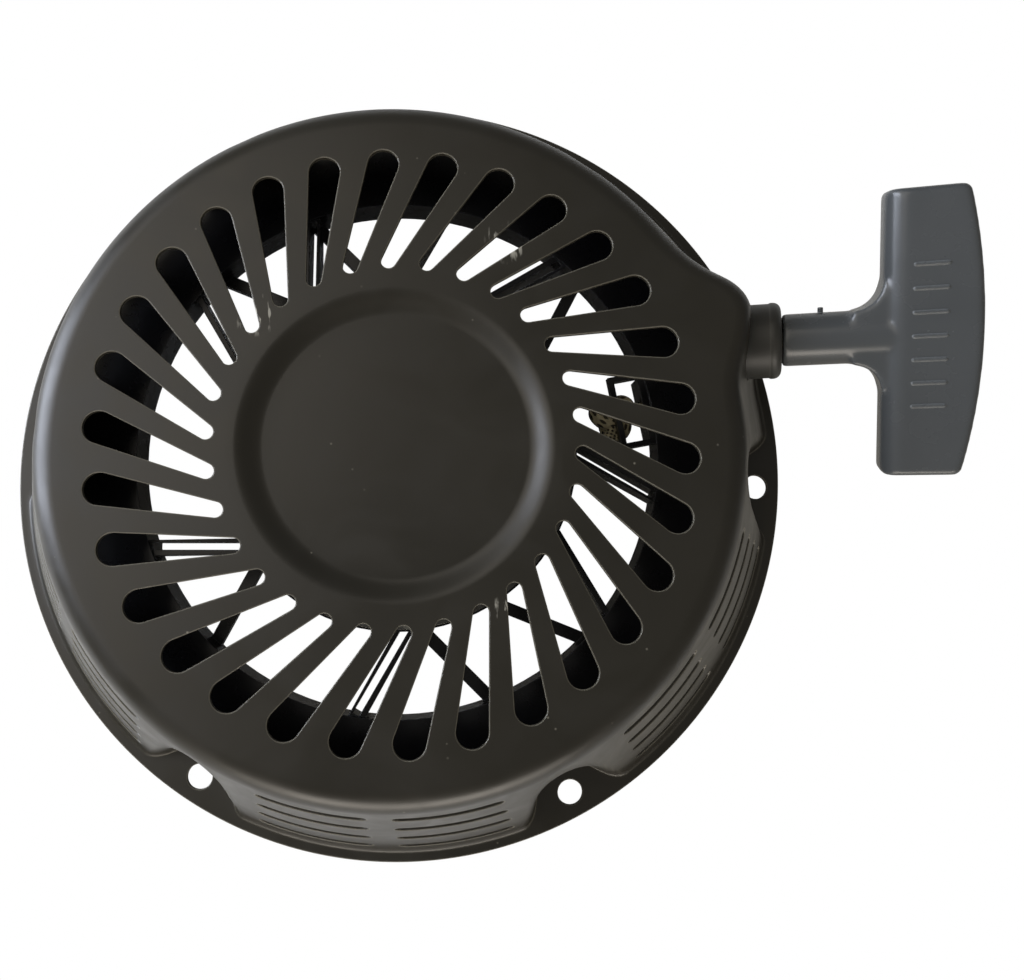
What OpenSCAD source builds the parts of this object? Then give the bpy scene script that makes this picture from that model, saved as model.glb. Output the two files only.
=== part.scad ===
// Recoil starter for a small engine: pressed steel cover, rope reel with a recoil spring,
// ratchet with two pawls, and a T-handle on the rope. Millimetres.
// The origin is the centre of the flange's mating face, +Z points to the slotted face,
// and the rope is pulled towards +X.

/* [Cover] */
// Outside diameter of the flange
flange_d = 240; // [200:1:290]
// Thickness of the pressed sheet
sheet_t = 1.2; // [1:0.1:1.6]
// Height from the mating face to the slotted face
cover_h = 55; // [54:1:66]
// Width of the flange outside the wall
flange_rim = 3.6; // [2:0.2:5]
// Lean of the side wall
wall_draft = 25; // [18:1:27]
// Outer radius of the bend between wall and face
edge_r = 7.5; // [4:0.5:9]
// Radius of the shallow dish in the face, at its top
dish_r = 40; // [34:1:44]
// Depth of the dish
dish_depth = 2.5; // [1.5:0.5:4]
// Width of the dish's sloping wall
dish_slope = 5; // [3:0.5:7]

/* [Fixing holes] */
// Number of fixing holes
bolt_count = 6; // [4:1:8]
// Diameter of a fixing hole
bolt_hole_d = 7.6; // [6:0.2:9]
// Distance from a hole's centre to the flange edge
bolt_edge = 7.5; // [6:0.5:9]
// Turn of the first hole from the rope's direction
bolt_turn = -7.3; // [-12:0.1:-5]
// Radius of the pocket in the wall around a hole, at the flange
pocket_r = 10.5; // [9:0.5:12]
// Growth of the pocket's radius up to the face
pocket_flare = 6; // [3:0.5:8]

/* [Cooling slots] */
// Number of slots in the face
slot_count = 30; // [20:1:32]
// Radius of a slot's wide outer end
slot_outer_r = 4.15; // [3:0.05:4.5]
// Radius of a slot's narrow inner end
slot_inner_r = 2; // [1.5:0.1:2.5]
// Distance from the flat face's rim to the centre of the outer end
slot_margin = 11.2; // [9:0.2:14]
// Distance from the dish to the centre of the inner end
slot_dish_gap = 8.5; // [6:0.5:10]
// Angle that the inner end leads the outer end by
slot_lean = 11.7; // [0:0.1:16]
// Turn of the first slot
slot_turn = 5; // [0:0.5:11]
// Rows of side louvres in a group
louvre_rows = 4; // [1:1:4]
// Height of a louvre row
louvre_h = 4; // [2:0.2:4]
// Pitch of the louvre rows
louvre_pitch = 12.2; // [8:0.1:12.4]
// Height of the lowest louvre row
louvre_z = 8; // [7:0.5:12]
// Angle covered by one louvre group
louvre_span = 17.5; // [10:0.5:18]
// Angle between the two groups of a sector
louvre_gap = 3.8; // [3:0.1:6]

/* [Rope] */
// Diameter of the starter rope
rope_d = 4.5; // [3.5:0.1:5.5]
// Turns of rope wound on the reel at rest
rope_turns = 2.91; // [2:0.01:3]
// Height of the rope above the mating face
rope_z = 29.5; // [29:0.5:32]
// Offset of the rope's bend from the reel's axis
rope_y = 26.8; // [20:0.1:30]
// Rise of the pull line out of the boss
pull_rise = 18; // [10:1:20]
// Turn of the pull line towards -Y
pull_yaw = 5.4; // [0:0.1:8]
// Clearance between rope and each hole it passes
rope_clear = 0.35; // [0.2:0.05:0.8]

/* [Rope bush] */
// Outside diameter of the bush
bush_d = 22; // [18:0.5:23]
// Length that the bush stands out of the boss
bush_out = 8.5; // [6:0.1:14]
// How far the boss stands proud of the wall at the bush
boss_proud = 5; // [3:0.5:7]

/* [Handle] */
// Diameter of the handle's stem
stem_d = 15; // [12:0.2:18]
// Length of the stem up to the crossbar
stem_len = 26.4; // [20:0.2:45]
// Length of the crossbar
bar_len = 78.5; // [70:0.5:110]
// Width of the crossbar at its ends
bar_w = 20.5; // [18:0.5:28]
// Rise of the crossbar's bowed outer edge
bar_bow = 4.7; // [2:0.1:9]
// Thickness of the crossbar
bar_t = 16; // [16:0.5:24]
// Roll of the handle about the rope
bar_roll = 19.6; // [0:0.2:30]

/* [Reel] */
// Gap between the reel's flanges and the cover's pockets
reel_gap = 2.2; // [1.5:0.1:4]
// Width of the rope groove
groove_w = 7; // [6.5:0.5:8]
// Thickness of a reel flange
reel_flange_t = 1.5; // [1:0.1:2.5]
// Thickness of the ring under the groove
ring_t = 3; // [2:0.5:4]
// Radius of the reel's hub
hub_r = 49; // [46:1:52]
// Width of a double rib
rib_w = 4.4; // [3.6:0.2:9]
// Gap between the two walls of a double rib
rib_gap = 2; // [1:0.2:2]
// Height of a double rib
rib_h = 8; // [5:0.5:9]
// Width of a flat strut
strut_w = 3.5; // [3:0.5:5]

/* [Post and screw] */
// Radius of the centre post where the reel turns
post_r = 9; // [8:0.5:9.5]
// Radius of the post's nose, which carries the ratchet guide
nose_r = 6; // [5:0.5:6.5]
// Radius of the centre screw's shank
screw_r = 3; // [2.5:0.1:3.5]
// Thickness of the plate welded under the dish
plate_t = 2; // [1.5:0.1:2.5]
// Radius of the plate welded under the dish
plate_r = 28; // [22:1:32]

/* [Recoil spring] */
// Thickness of the spring strip
strip_t = 0.8; // [0.6:0.1:1]
// Height of the spring strip
strip_h = 9; // [7:0.5:9.2]
// Turns of the spring at rest
strip_turns = 9; // [6:1:10]

/* [Ratchet] */
// Radius of the pawl pins' circle
pawl_circle_r = 28; // [27:0.5:30]
// Radius of a pawl pin
pawl_pin_r = 2.5; // [2:0.1:3]
// Length of a pawl from its pin to its tip
pawl_len = 20; // [18:0.5:21]
// Angle that the guide turns to throw the pawls out
guide_throw = 40; // [30:1:45]
// Angle that a pawl swings out
pawl_throw = 30; // [20:1:32]
// Radius of the peg under a pawl
peg_r = 2; // [1.5:0.1:2.2]

/* [Fits] */
// Radial clearance of a running fit
run_fit = 0.05; // [0.02:0.01:0.1]
// Radial clearance of a fixed pin or sleeve
fixed_fit = 0.02; // [0.01:0.01:0.05]
// Gap between faces that slide past each other
face_gap = 0.3; // [0.2:0.05:0.5]

/* [Hidden] */
$fn = 64;
e = 0.5;

steel_black = [0.2, 0.195, 0.165];
steel = [0.62, 0.62, 0.6];
spring_steel = [0.42, 0.42, 0.44];
black_plastic = [0.07, 0.07, 0.08];
black_rubber = [0.2, 0.2, 0.19];
grip_grey = [0.36, 0.37, 0.37];
bronze = [0.6, 0.45, 0.25];
rope_beige = [0.55, 0.5, 0.4];

// Cover: radii of the wall, the bend and the face
foot_r = flange_d / 2 - flange_rim;
function wall_r(z) = foot_r - (z - sheet_t) * tan(wall_draft);
corner_r = wall_r(cover_h);
face_flat_r = corner_r - edge_r * tan((90 - wall_draft) / 2);
wall_shift = sheet_t / cos(wall_draft);
dish_floor_z = cover_h - dish_depth;
dish_floor_r = dish_r - dish_slope;
dish_shift = sheet_t * tan(atan(dish_depth / dish_slope) / 2);
bolt_circle_r = flange_d / 2 - bolt_edge;
function pocket_r_at(z) = pocket_r + pocket_flare * (z - sheet_t) / (cover_h - sheet_t);
slot_outer_at = face_flat_r - slot_margin;
slot_inner_at = dish_r + slot_dish_gap;
louvre_turn = 0.8;

// Boss: its front face leans back, and meets the rope's line at boss_x
boss_draft = 18;
boss_y = rope_y - 0.3;
boss_x = sqrt(pow(wall_r(rope_z), 2) - pow(rope_y, 2)) + boss_proud;
function boss_face_x(z) = boss_x + (rope_z - z) * tan(boss_draft);

// Pull line: it starts at the rope's bend, and distances along it are counted from there
bend_back = 8.1;
bend_x = boss_x - bend_back;
pull_dir = [cos(pull_rise) * cos(pull_yaw), -cos(pull_rise) * sin(pull_yaw), sin(pull_rise)];
boss_at = bend_back / (pull_dir[0] + pull_dir[2] * tan(boss_draft));

// Bush, along the pull line
bush_end = boss_at + bush_out;
bush_r = bush_d / 2;
collar_over = 1.2;
collar_t = 1.6;
collar_room = 3.9;
collar_end = boss_at - sheet_t / cos(boss_draft) - collar_room;
bush_inner = collar_end - collar_t;
rope_r = rope_d / 2;
rope_bore_r = rope_r + rope_clear;
flare_r = bush_r - 1.5;
flare_len = 7;

// Reel: the rope's winding sets the groove's depth
reel_top = rope_z + groove_w / 2 + reel_flange_t;
reel_bottom = rope_z - groove_w / 2 - reel_flange_t;
reel_r = bolt_circle_r - pocket_r_at(reel_top) - sheet_t - reel_gap;
reel_lip = 0.8;
winding_gap = 0.7;
rope_out_at = reel_r - reel_lip - rope_r;
rope_in_at = rope_out_at - rope_turns * rope_d;
groove_r = rope_in_at - rope_r - winding_gap;
ring_r = groove_r - ring_t;
rib_lean = 11.3;
rib_turn = -13.3;
rib_places = [0, 2, 3, 4, 5, 7, 9, 11];
rib_step = 30;
rib_z = reel_bottom + 1;
struts = [[41.6, 9.5], [106.5, 15.3], [130.8, 14]]; // turn and lean of each
strut_t = 2.5;

// Heights of the mechanism, from the mating face up
screw_head_z = 4.5;
screw_head_t = 4;
screw_head_r = 6.4;
screw_depth = 20;
washer_t = 1.5;
washer_r = nose_r + 5;
nose_z = screw_head_z + screw_head_t + washer_t + 0.1;
guide_z = nose_z + face_gap;
guide_t = 2.7;
post_step_z = nose_z + 7.8;
boss_z = post_step_z + face_gap;
pawl_z = guide_z + guide_t + 1.8;
pawl_t = 6.7;
hub_z = pawl_z + pawl_t + face_gap;
cavity_z = hub_z + 8;
hub_top = cavity_z + strip_h + 1;
retainer_t = 1;
thrust_z = hub_top + retainer_t + 0.1;
thrust_t = 0.6;
shoulder_z = thrust_z + thrust_t + 0.1;
plate_z = dish_floor_z - sheet_t - plate_t;
shoulder_r = post_r + 3;

// Hub: bushing, spring cavity and screws
bushing_t = 2;
cavity_r = hub_r - 7;
retainer_screw_r = 1.5;
retainer_screw_at = hub_r - 3.5;
retainer_screw_count = 3;
retainer_screw_len = 6.5;
tab_w = 2 * strip_t;
strip_in = post_r + 0.9 + strip_t / 2;
strip_out = cavity_r - 0.6 - strip_t / 2;
tab_depth = 3;

// Ratchet: the cam slots follow the pegs at a constant ratio of throw
guide_collar_in = nose_r + 6.2;
guide_collar_out = guide_collar_in + 3.6;
pawl_rest = -100;
peg_reach = 11;
pawl_root_r = pawl_pin_r + 3.5;
pawl_tip_r = 4;
peg_clear = 0.4;
pawl_bore_r = pawl_pin_r + run_fit;
guide_r = pawl_circle_r + 9.5;
pawl_spring_wire = 0.35;
pawl_spring_room = 3;
pin_depth = 6;
pin_foot_z = guide_z + guide_t + 0.6;

// Rope's exit: the point where it leaves the reel, and the bend in the bush
bend_r = 8;
exit_dist = sqrt(bend_x * bend_x + rope_y * rope_y);
exit_a = atan2(rope_y, bend_x) + acos(rope_out_at / exit_dist);
knot_a = exit_a + (rope_turns - floor(rope_turns)) * 360 - 360;
leave_dir = concat(dir(exit_a - 90), 0);
bend_len = bend_r * tan(acos(leave_dir * pull_dir) / 2);
reel_pocket_t = 2.3;
reel_pocket_w = 18;
knot_r = rope_d * 14 / 15;
knot_tilt = 35;
knot_strand_r = 0.85 * rope_r;
knot_half = (knot_r - knot_strand_r) * sin(knot_tilt) + knot_strand_r;
reel_knot_at = ring_r - reel_pocket_t - knot_half - 0.1;
cage_t = 1.6;
cage_w = 19.5;
cage_h = 3;
cage_in = reel_knot_at - knot_half - face_gap - cage_t;

// Handle, along the pull line
stem_x = bush_end + face_gap;
bar_x = stem_x + stem_len;
bar_corner_x = bar_x + bar_w;
bar_out_x = bar_corner_x + bar_bow;
bar_half = bar_len / 2;
bow_r = (bar_half * bar_half + bar_bow * bar_bow) / (2 * bar_bow);
bow_a = asin(bar_half / bow_r);
fillet_r = 8;
chamber_r = 7.5;
chamber_x = bar_out_x - 15;
handle_washer_t = 1.5;

// Unit vector at an angle
function dir(a) = [cos(a), sin(a)];

// Points of an arc from angle a0 to a1
function arc(c, r, a0, a1, n = 6) = [for (i = [0:n]) c + r * dir(a0 + (a1 - a0) * i / n)];

function unit(v) = v / norm(v);

// Bar with round ends of two radii. Its sides start just inside the ends,
// so that they cross the ends' curves and don't only touch them.
module round_bar(c1, r1, c2, r2) {
    side = 0.98 * dir(atan2(c2[1] - c1[1], c2[0] - c1[0]) + 90);
    translate(c1) circle(r1);
    translate(c2) circle(r2);
    polygon([c1 - r1 * side, c2 - r2 * side, c2 + r2 * side, c1 + r1 * side]);
}

// Straight bar between two points
module straight_bar(p, q, w) {
    translate(p) rotate(atan2(q[1] - p[1], q[0] - p[0]))
        translate([0, -w / 2]) square([norm(q - p), w]);
}

// Round rod swept along points
module rod(points, r, sides = 8) {
    last = len(points) - 1;
    function along(i) = unit(points[min(i + 1, last)] - points[max(i - 1, 0)]);
    function side_of(i) = unit([-along(i)[1], along(i)[0], 0]);
    rings = [for (i = [0:last]) for (k = [0:sides - 1])
        points[i] + r * (cos(360 * k / sides) * side_of(i)
            + sin(360 * k / sides) * cross(along(i), side_of(i)))];
    walls = [for (i = [0:last - 1]) for (k = [0:sides - 1])
        [i * sides + k, (i + 1) * sides + k,
            (i + 1) * sides + (k + 1) % sides, i * sides + (k + 1) % sides]];
    first_cap = [for (k = [0:sides - 1]) k];
    last_cap = [for (k = [0:sides - 1]) last * sides + sides - 1 - k];
    polyhedron(rings, concat(walls, [first_cap, last_cap]), convexity = 6);
}

// Points of a helix around +Z
function helix(r, pitch, turns, z, n = 20) =
    [for (i = [0:turns * n]) concat(r * dir(360 * i / n), z + pitch * i / n)];

module ring(r_out, r_in, h) {
    difference() {
        cylinder(r = r_out, h = h);
        translate([0, 0, -e]) cylinder(r = r_in, h = h + 2 * e);
    }
}

// The rope's bend, with +X along the pull line
module on_pull_line() {
    translate([bend_x, rope_y, rope_z]) rotate([0, -pull_rise, -pull_yaw]) children();
}

module at_bolts() {
    for (i = [0:bolt_count - 1])
        rotate(bolt_turn + 360 * i / bolt_count) translate([bolt_circle_r, 0, 0]) children();
}

// Solid under the cover's outer surface (inset 0) or its inner surface (inset sheet_t)
module cover_form(inset) {
    shift = inset * wall_shift / sheet_t;
    low = inset > 0 ? -e : 0;
    top = cover_h - inset;
    dish_in = inset * dish_shift / sheet_t;
    rotate_extrude($fn = 128) polygon(concat(
        [[0, low], [wall_r(low) - shift, low]],
        arc([face_flat_r, cover_h - edge_r], edge_r - inset, wall_draft, 90),
        [[dish_r + dish_in, top], [dish_floor_r + dish_in, top - dish_depth],
            [0, top - dish_depth]]));
}

// Pocket that the wall makes around a fixing hole
module pocket_form(inset) {
    translate([0, 0, -2 * e])
        cylinder(r1 = pocket_r_at(-2 * e) + inset, r2 = pocket_r_at(cover_h + e) + inset,
            h = cover_h + 3 * e);
}

// Boss for the rope bush: outline at the face and at the flange, around its own middle
module boss_form(inset) {
    mid = [boss_x - 44, boss_y];
    x1 = boss_face_x(cover_h);
    x0 = boss_face_x(0);
    face_line = [[x1 - 36, boss_y - 16], [x1 - 3.7, boss_y - 12.5], [x1, boss_y - 1.5],
        [x1, boss_y + 6.5], [x1 - 1.7, boss_y + 10], [x1 - 16, boss_y + 18.5],
        [x1 - 36, boss_y + 20]];
    foot_line = [[x1 - 36, boss_y - 16], [x0 - 4.6, boss_y - 18.2], [x0, boss_y - 3.5],
        [x0, boss_y + 16.5], [x0 - 2, boss_y + 20], [x0 - 25, boss_y + 33],
        [x1 - 36, boss_y + 33]];
    hull() {
        translate([0, 0, cover_h - inset - 1]) linear_extrude(1)
            polygon([for (p = face_line) p - inset * 1.25 * unit(p - mid)]);
        translate([0, 0, inset > 0 ? -e : 0]) linear_extrude(1)
            polygon([for (p = foot_line) p - inset * 1.25 * unit(p - mid)]);
    }
}

module louvres() {
    middle = bolt_turn + 180 / bolt_count + louvre_turn;
    for (i = [1:bolt_count - 1]) for (side = [0, 1]) for (row = [0:louvre_rows - 1])
        rotate(middle + 360 * i / bolt_count + louvre_gap / 2
            - side * (louvre_gap + louvre_span))
            translate([0, 0, louvre_z + row * louvre_pitch - louvre_h / 2])
                rotate_extrude(angle = louvre_span)
                    translate([face_flat_r, 0]) square([flange_d / 2, louvre_h]);
}

module face_slots() {
    for (i = [0:slot_count - 1])
        rotate(slot_turn + 360 * i / slot_count)
            translate([0, 0, dish_floor_z - sheet_t - e])
                linear_extrude(dish_depth + sheet_t + 2 * e)
                    round_bar(slot_inner_at * dir(slot_lean), slot_inner_r,
                        [slot_outer_at, 0], slot_outer_r);
}

// Pressed cover with its flange, slots, louvres, pockets and boss
module cover() {
    color(steel_black) difference() {
        union() {
            difference() {
                union() {
                    cover_form(0);
                    boss_form(0);
                }
                at_bolts() pocket_form(0);
            }
            cylinder(d = flange_d, h = sheet_t, $fn = 128);
        }
        difference() {
            union() {
                cover_form(sheet_t);
                boss_form(sheet_t);
            }
            at_bolts() pocket_form(sheet_t);
        }
        at_bolts() translate([0, 0, -e]) cylinder(d = bolt_hole_d, h = sheet_t + 2 * e);
        face_slots();
        louvres();
        on_pull_line() translate([bush_inner, 0, 0]) rotate([0, 90, 0])
            cylinder(r = bush_r + fixed_fit, h = bush_end);
    }
}

// Plate welded under the dish, which carries the post
module post_plate() {
    color(steel) translate([0, 0, plate_z]) cylinder(r = plate_r, h = plate_t);
}

// Post that the reel turns on, with a slot for the spring's inner end
module centre_post() {
    color(steel) difference() {
        union() {
            translate([0, 0, shoulder_z]) cylinder(r = shoulder_r, h = plate_z - shoulder_z);
            translate([0, 0, post_step_z]) cylinder(r = post_r, h = plate_z - post_step_z);
            translate([0, 0, nose_z]) cylinder(r = nose_r, h = plate_z - nose_z);
        }
        translate([0, 0, nose_z - e]) cylinder(r = screw_r + fixed_fit, h = screw_depth);
        translate([post_r - tab_depth, -tab_w / 2, cavity_z])
            cube([tab_depth + e, tab_w, strip_h + 1]);
    }
}

// Hexagon screw that holds the ratchet guide on the post
module centre_screw() {
    color(steel) union() {
        translate([0, 0, screw_head_z]) cylinder(r = screw_head_r, h = screw_head_t, $fn = 6);
        translate([0, 0, screw_head_z]) cylinder(r = screw_r, h = screw_head_t + screw_depth);
    }
}

module guide_washer() {
    color(steel) translate([0, 0, nose_z - washer_t - 0.05])
        ring(washer_r, screw_r + 0.2, washer_t);
}

// Moulded bush that the rope runs out through, with a collar inside the boss
module rope_bush() {
    rim = 2.2;
    body = concat([[flare_r, bush_inner], [bush_r + collar_over, bush_inner],
            [bush_r + collar_over, collar_end], [bush_r, collar_end]],
        arc([bush_r - rim, bush_end - rim], rim, 0, 90),
        [[rope_bore_r + 1, bush_end], [rope_bore_r, bush_end - 1],
            [rope_bore_r, bush_inner + flare_len]]);
    color(black_rubber) on_pull_line() rotate([90, 0, 90]) rotate_extrude() polygon(body);
}

// Rope reel: grooved ring, channel ribs and flat struts around the hub
module reel() {
    groove_profile = [[ring_r, reel_bottom], [reel_r, reel_bottom],
        [reel_r, reel_bottom + reel_flange_t], [groove_r, reel_bottom + reel_flange_t],
        [groove_r, reel_top - reel_flange_t], [reel_r, reel_top - reel_flange_t],
        [reel_r - reel_flange_t / 2, reel_top], [ring_r, reel_top]];
    color(black_plastic) difference() {
        union() {
            rotate_extrude($fn = 128) polygon(groove_profile);
            translate([0, 0, hub_z]) cylinder(r = hub_r, h = hub_top - hub_z);
            translate([0, 0, boss_z]) cylinder(r = guide_collar_out, h = hub_z - boss_z + e);
            for (place = rib_places) rotate(rib_turn + rib_step * place) reel_rib();
            for (half = [0, 180]) for (strut = struts) rotate(strut[0] + half)
                translate([0, 0, reel_bottom + e]) linear_extrude(strut_t)
                    straight_bar([ring_r + 1, 0], (hub_r - 1) * dir(-strut[1]), strut_w);
            rotate(knot_a) translate([ring_r - reel_pocket_t, -reel_pocket_w / 2, reel_bottom + e])
                cube([reel_pocket_t + 2, reel_pocket_w, reel_top - reel_bottom - 2 * e]);
            rotate(knot_a) knot_cage();
        }
        translate([0, 0, boss_z - e])
            cylinder(r = post_r + run_fit + bushing_t + fixed_fit, h = hub_top);
        translate([0, 0, cavity_z]) cylinder(r = cavity_r, h = strip_h + 2);
        translate([cavity_r - 1, -tab_w / 2, cavity_z])
            cube([tab_depth + 1, tab_w, strip_h + 2]);
        at_pawl_pins() translate([0, 0, hub_z - e])
            cylinder(r = pawl_pin_r + fixed_fit, h = pin_depth + e);
        at_pawl_pins() translate([0, 0, hub_z - e])
            cylinder(r = pawl_root_r - 0.5, h = pawl_spring_room + e);
        at_retainer_screws() translate([0, 0, hub_top - retainer_screw_len - e])
            cylinder(r = retainer_screw_r + fixed_fit, h = retainer_screw_len + 2 * e);
        rotate(knot_a) translate([ring_r - reel_pocket_t - 1, 0, rope_z]) rotate([0, 90, 0])
            cylinder(r = rope_bore_r, h = ring_t + reel_pocket_t + 2);
    }
}

// Bridge over the rope's knot, from the ring and back to it
module knot_cage() {
    translate([cage_in, 0, reel_top - cage_h - e]) {
        translate([0, -cage_w / 2, 0]) cube([cage_t, cage_w, cage_h]);
        for (side = [-1, 1]) translate([0, side * cage_w / 2 - cage_t / 2, 0])
            cube([ring_r + 1 - cage_in, cage_t, cage_h]);
    }
}

// Double rib: two thin walls with an open gap between them
module reel_rib() {
    p = [ring_r + 1, 0];
    q = (hub_r - 0.5) * dir(rib_lean);
    translate([0, 0, rib_z]) linear_extrude(rib_h) difference() {
        straight_bar(p, q, rib_w);
        straight_bar([ring_r - e, 0], q, rib_gap);
    }
}

// Plain sleeve pressed into the hub
module reel_bushing() {
    color(bronze) translate([0, 0, boss_z])
        ring(post_r + run_fit + bushing_t, post_r + run_fit, cavity_z - boss_z - 0.2);
}

module thrust_washer() {
    color(steel) translate([0, 0, thrust_z]) ring(post_r + 4, post_r + 0.3, thrust_t);
}

// Disc that closes the spring's cavity
module spring_retainer() {
    color(steel) translate([0, 0, hub_top]) difference() {
        ring(hub_r - 0.6, post_r + 1.5, retainer_t);
        at_retainer_screws() translate([0, 0, -e])
            cylinder(r = retainer_screw_r + 0.1, h = retainer_t + 2 * e);
    }
}

module at_retainer_screws() {
    for (i = [0:retainer_screw_count - 1])
        rotate(30 + 360 * i / retainer_screw_count)
            translate([retainer_screw_at, 0, 0]) children();
}

// Pan-head screws of the spring's retainer
module retainer_screws() {
    head_r = 2.9;
    head_t = 1.5;
    color(steel) at_retainer_screws() difference() {
        union() {
            translate([0, 0, hub_top - retainer_screw_len])
                cylinder(r = retainer_screw_r, h = retainer_screw_len + retainer_t + head_t);
            translate([0, 0, hub_top + retainer_t]) cylinder(r = head_r, h = head_t);
        }
        for (a = [0, 90]) rotate(a) translate([-2, -0.3, hub_top + retainer_t + head_t - 0.8])
            cube([4, 0.6, 2]);
    }
}

// Flat spiral spring from the post's slot to the slot in the hub's wall
module recoil_spring() {
    steps = strip_turns * 20;
    half = strip_t / 2;
    hook_in = post_r - tab_depth + 0.4;
    hook_out = cavity_r + tab_depth - 0.5;
    function spiral(i) = strip_in + (strip_out - strip_in) * i / steps;
    outer = [for (i = [1:steps - 1]) (spiral(i) + half) * dir(18 * i)];
    inner = [for (i = [steps - 1:-1:1]) (spiral(i) - half) * dir(18 * i)];
    outline = concat([[hook_in, half], [hook_in, -half], [strip_in + half, -half]], outer,
        [[strip_out + half, -half], [hook_out, -half], [hook_out, half],
            [strip_out - half, half]], inner, [[strip_in - half, half]]);
    color(spring_steel) translate([0, 0, cavity_z + 0.5]) linear_extrude(strip_h)
        polygon(outline);
}

module at_pawl_pins() {
    for (a = [0, 180]) rotate(a) translate([pawl_circle_r, 0, 0]) children();
}

// Pawl with its bore and the peg that runs in the guide's cam slot
module pawl() {
    tip = pawl_len * dir(pawl_rest);
    tip_flat = 2.2;
    translate([pawl_circle_r, 0, 0]) {
        translate([0, 0, pawl_z]) linear_extrude(pawl_t) difference() {
            round_bar([0, 0], pawl_root_r, tip, pawl_tip_r);
            circle(pawl_bore_r);
            translate(tip) rotate(pawl_rest) translate([tip_flat, -6]) square([4, 12]);
        }
        translate(concat(peg_reach * dir(pawl_rest), guide_z + face_gap))
            cylinder(r = peg_r, h = pawl_z - guide_z);
    }
}

module pawl_1() {
    color(steel) pawl();
}

module pawl_2() {
    color(steel) rotate(180) pawl();
}

// Pins that the pawls swing on, held in the hub
module pawl_pins() {
    color(steel) at_pawl_pins() translate([0, 0, pin_foot_z])
        cylinder(r = pawl_pin_r, h = hub_z + pin_depth - pin_foot_z);
}

// Return spring around a pawl's pin
module pawl_spring() {
    coil_r = pawl_pin_r + 1.5;
    translate([pawl_circle_r, 0, 0])
        rod(helix(coil_r, 0.9, 2, hub_z + pawl_spring_wire + 0.2), pawl_spring_wire);
}

module pawl_spring_1() {
    color(spring_steel) pawl_spring();
}

module pawl_spring_2() {
    color(spring_steel) rotate(180) pawl_spring();
}

// Guide disc with a collar and two cam slots
module ratchet_guide() {
    peg_at = peg_reach * dir(pawl_rest);
    function turned(v, a) = [v[0] * cos(a) - v[1] * sin(a), v[0] * sin(a) + v[1] * cos(a)];
    function cam(t) = turned([pawl_circle_r, 0] + turned(peg_at, pawl_throw * t), -guide_throw * t);
    cam_steps = 8;
    half = peg_r + peg_clear;
    function across(t) = unit(turned(cam(t + 0.01) - cam(t - 0.01), 90));
    cam_edges = concat(
        [for (i = [0:cam_steps]) cam(i / cam_steps) + half * across(i / cam_steps)],
        [for (i = [cam_steps:-1:0]) cam(i / cam_steps) - half * across(i / cam_steps)]);
    color(black_plastic) difference() {
        translate([0, 0, guide_z]) union() {
            cylinder(r = guide_r, h = guide_t);
            ring(guide_collar_out, guide_collar_in, post_step_z - guide_z);
        }
        translate([0, 0, guide_z - e]) cylinder(r = nose_r + run_fit, h = guide_t + 2 * e);
        for (a = [0, 180]) rotate(a) translate([0, 0, guide_z - e])
            linear_extrude(guide_t + 2 * e) union() {
                polygon(cam_edges);
                translate(cam(0)) circle(half);
                translate(cam(1)) circle(half);
            }
    }
}

// Coil spring that presses the guide down and makes it drag
module friction_spring() {
    wire_r = 0.45;
    z0 = guide_z + guide_t + wire_r + 0.1;
    z1 = post_step_z - wire_r - 0.1;
    color(spring_steel) rod(helix((nose_r + guide_collar_in) / 2, (z1 - z0) / 3, 3, z0), wire_r);
}

// Rope wound on the reel, from its knot out to the point where it leaves
module rope_winding() {
    steps = floor(rope_turns * 26);
    color(rope_beige) rod([for (i = [0:steps])
        concat((rope_out_at - rope_turns * rope_d * i / steps)
            * dir(exit_a + 360 * rope_turns * i / steps), rope_z)], rope_r);
}

// Knot inside the reel's ring, with the rope's end through the ring
module reel_knot() {
    color(rope_beige) rotate(knot_a) translate([reel_knot_at, 0, rope_z]) union() {
        rope_knot();
        rotate([0, 90, 0]) cylinder(r = rope_r, h = groove_r - reel_knot_at - face_gap);
    }
}

// Stopper knot, drawn as two crossed turns of rope
module rope_knot() {
    turn_r = knot_r - knot_strand_r;
    sphere(turn_r + 0.4);
    for (tilt = [knot_tilt, -knot_tilt]) rotate([0, 90 + tilt, 0])
        rotate_extrude() translate([turn_r, 0]) circle(knot_strand_r, $fn = 24);
}

// Rope from the reel, round the bend in the bush and out to its end
module rope_run() {
    leave = concat(rope_out_at * dir(exit_a), rope_z);
    bend = [bend_x, rope_y, rope_z];
    into = bend - bend_len * leave_dir;
    line = [for (i = [0:5]) leave + (into - leave) * (i + 0.1) / 6];
    curve = [for (i = [0:8]) bend + bend_len * (pow(i / 8, 2) * pull_dir - pow(1 - i / 8, 2) * leave_dir)];
    color(rope_beige)
        rod(concat(line, curve, [bend + (bush_end - 0.2) * pull_dir]), rope_r);
}

// Rope inside the handle, from the bush to the knot
module rope_tail() {
    color(rope_beige) on_pull_line() translate([bush_end + 0.1, 0, 0]) rotate([0, 90, 0])
        cylinder(r = rope_r, h = chamber_x + handle_washer_t + 0.2 - bush_end);
}

// The pull line, rolled as the handle lies
module on_handle() {
    on_pull_line() rotate([bar_roll, 0, 0]) children();
}

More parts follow.
